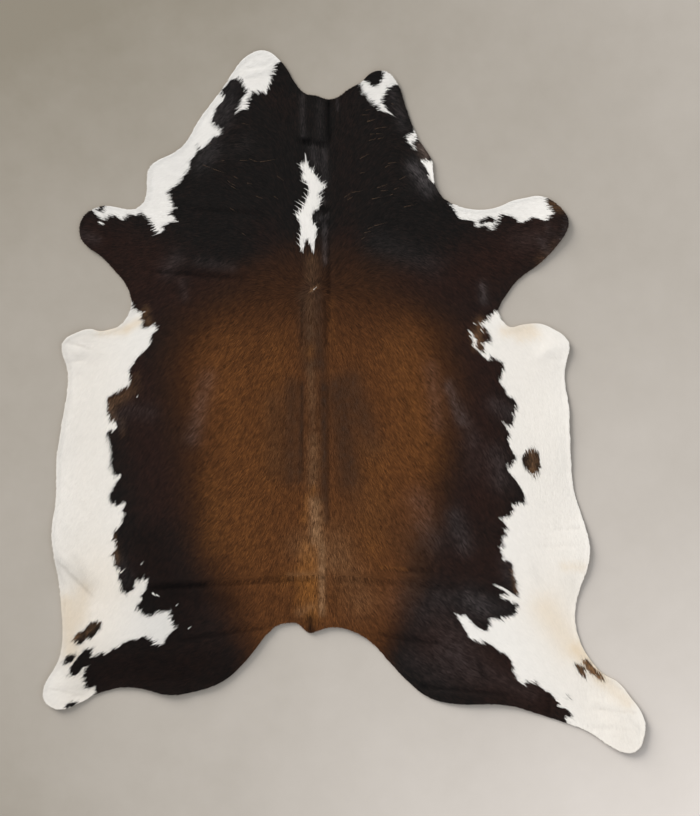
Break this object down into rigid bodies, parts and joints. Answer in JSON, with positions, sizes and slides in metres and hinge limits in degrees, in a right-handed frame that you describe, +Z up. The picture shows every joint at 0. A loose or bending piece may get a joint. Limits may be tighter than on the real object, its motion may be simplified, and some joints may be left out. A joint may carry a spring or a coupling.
{
  "type": "cowhide rug",
  "caption": "Whole hair-on cowhide rug with neck, legs and rump notch, black and brown saddle on white flanks, lying flat on the floor.",
  "frame": {"origin": "on the floor, under the middle of the hide's box", "axes": "+X to the right of the hide seen from above with the neck at the top, +Y along the spine from tail to neck, +Z up out of the hair side"},
  "size_m": [1.9734, 2.3035, 0.0147],
  "materials": {
    "hide": "short lying cow hair with a soft sheen, black neck, brown saddle and white flanks, on tanned leather"
  },
  "bodies": {
    "root": {"hide": "hide"}
  },
  "joints": []
}
